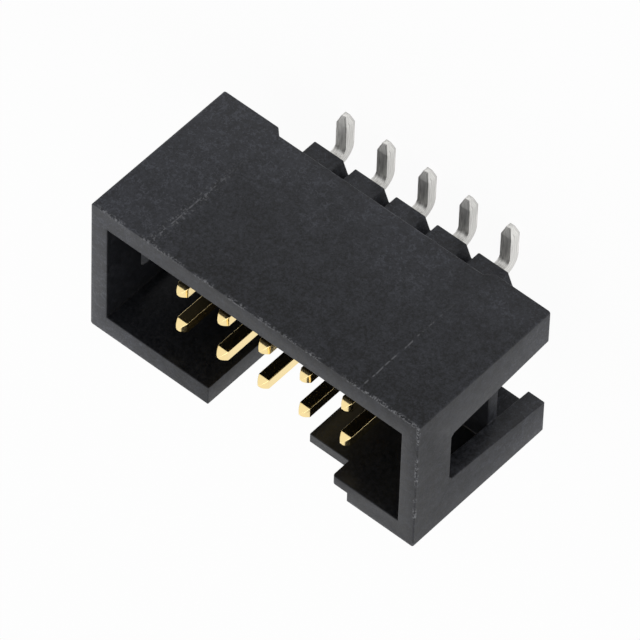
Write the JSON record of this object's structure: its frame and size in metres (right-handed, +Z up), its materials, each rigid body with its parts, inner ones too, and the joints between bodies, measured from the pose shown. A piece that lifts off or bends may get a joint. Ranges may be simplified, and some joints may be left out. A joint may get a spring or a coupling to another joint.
{
  "type": "box header",
  "caption": "Shrouded double-row pin header with a key notch and bent tails for soldering flat on a board.",
  "frame": {"origin": "on the board's surface under the middle of the connector, in the plane of the tails' undersides", "axes": "+Z up out of the mouth, the way the cable socket leaves; +X along the rows, towards the end with the low step beside the notch; -Y towards the key notch"},
  "size_m": [0.02, 0.0088, 0.0127],
  "materials": {
    "housing": "glass-filled black moulding, lightly textured",
    "contacts": "square wire, gold flash on the mating end and matte tin on the tail"
  },
  "bodies": {
    "root": {"housing": "housing", "contact_1": "contacts", "contact_2": "contacts", "contact_3": "contacts", "contact_4": "contacts", "contact_5": "contacts", "contact_6": "contacts", "contact_7": "contacts", "contact_8": "contacts", "contact_9": "contacts", "contact_10": "contacts"}
  },
  "joints": []
}
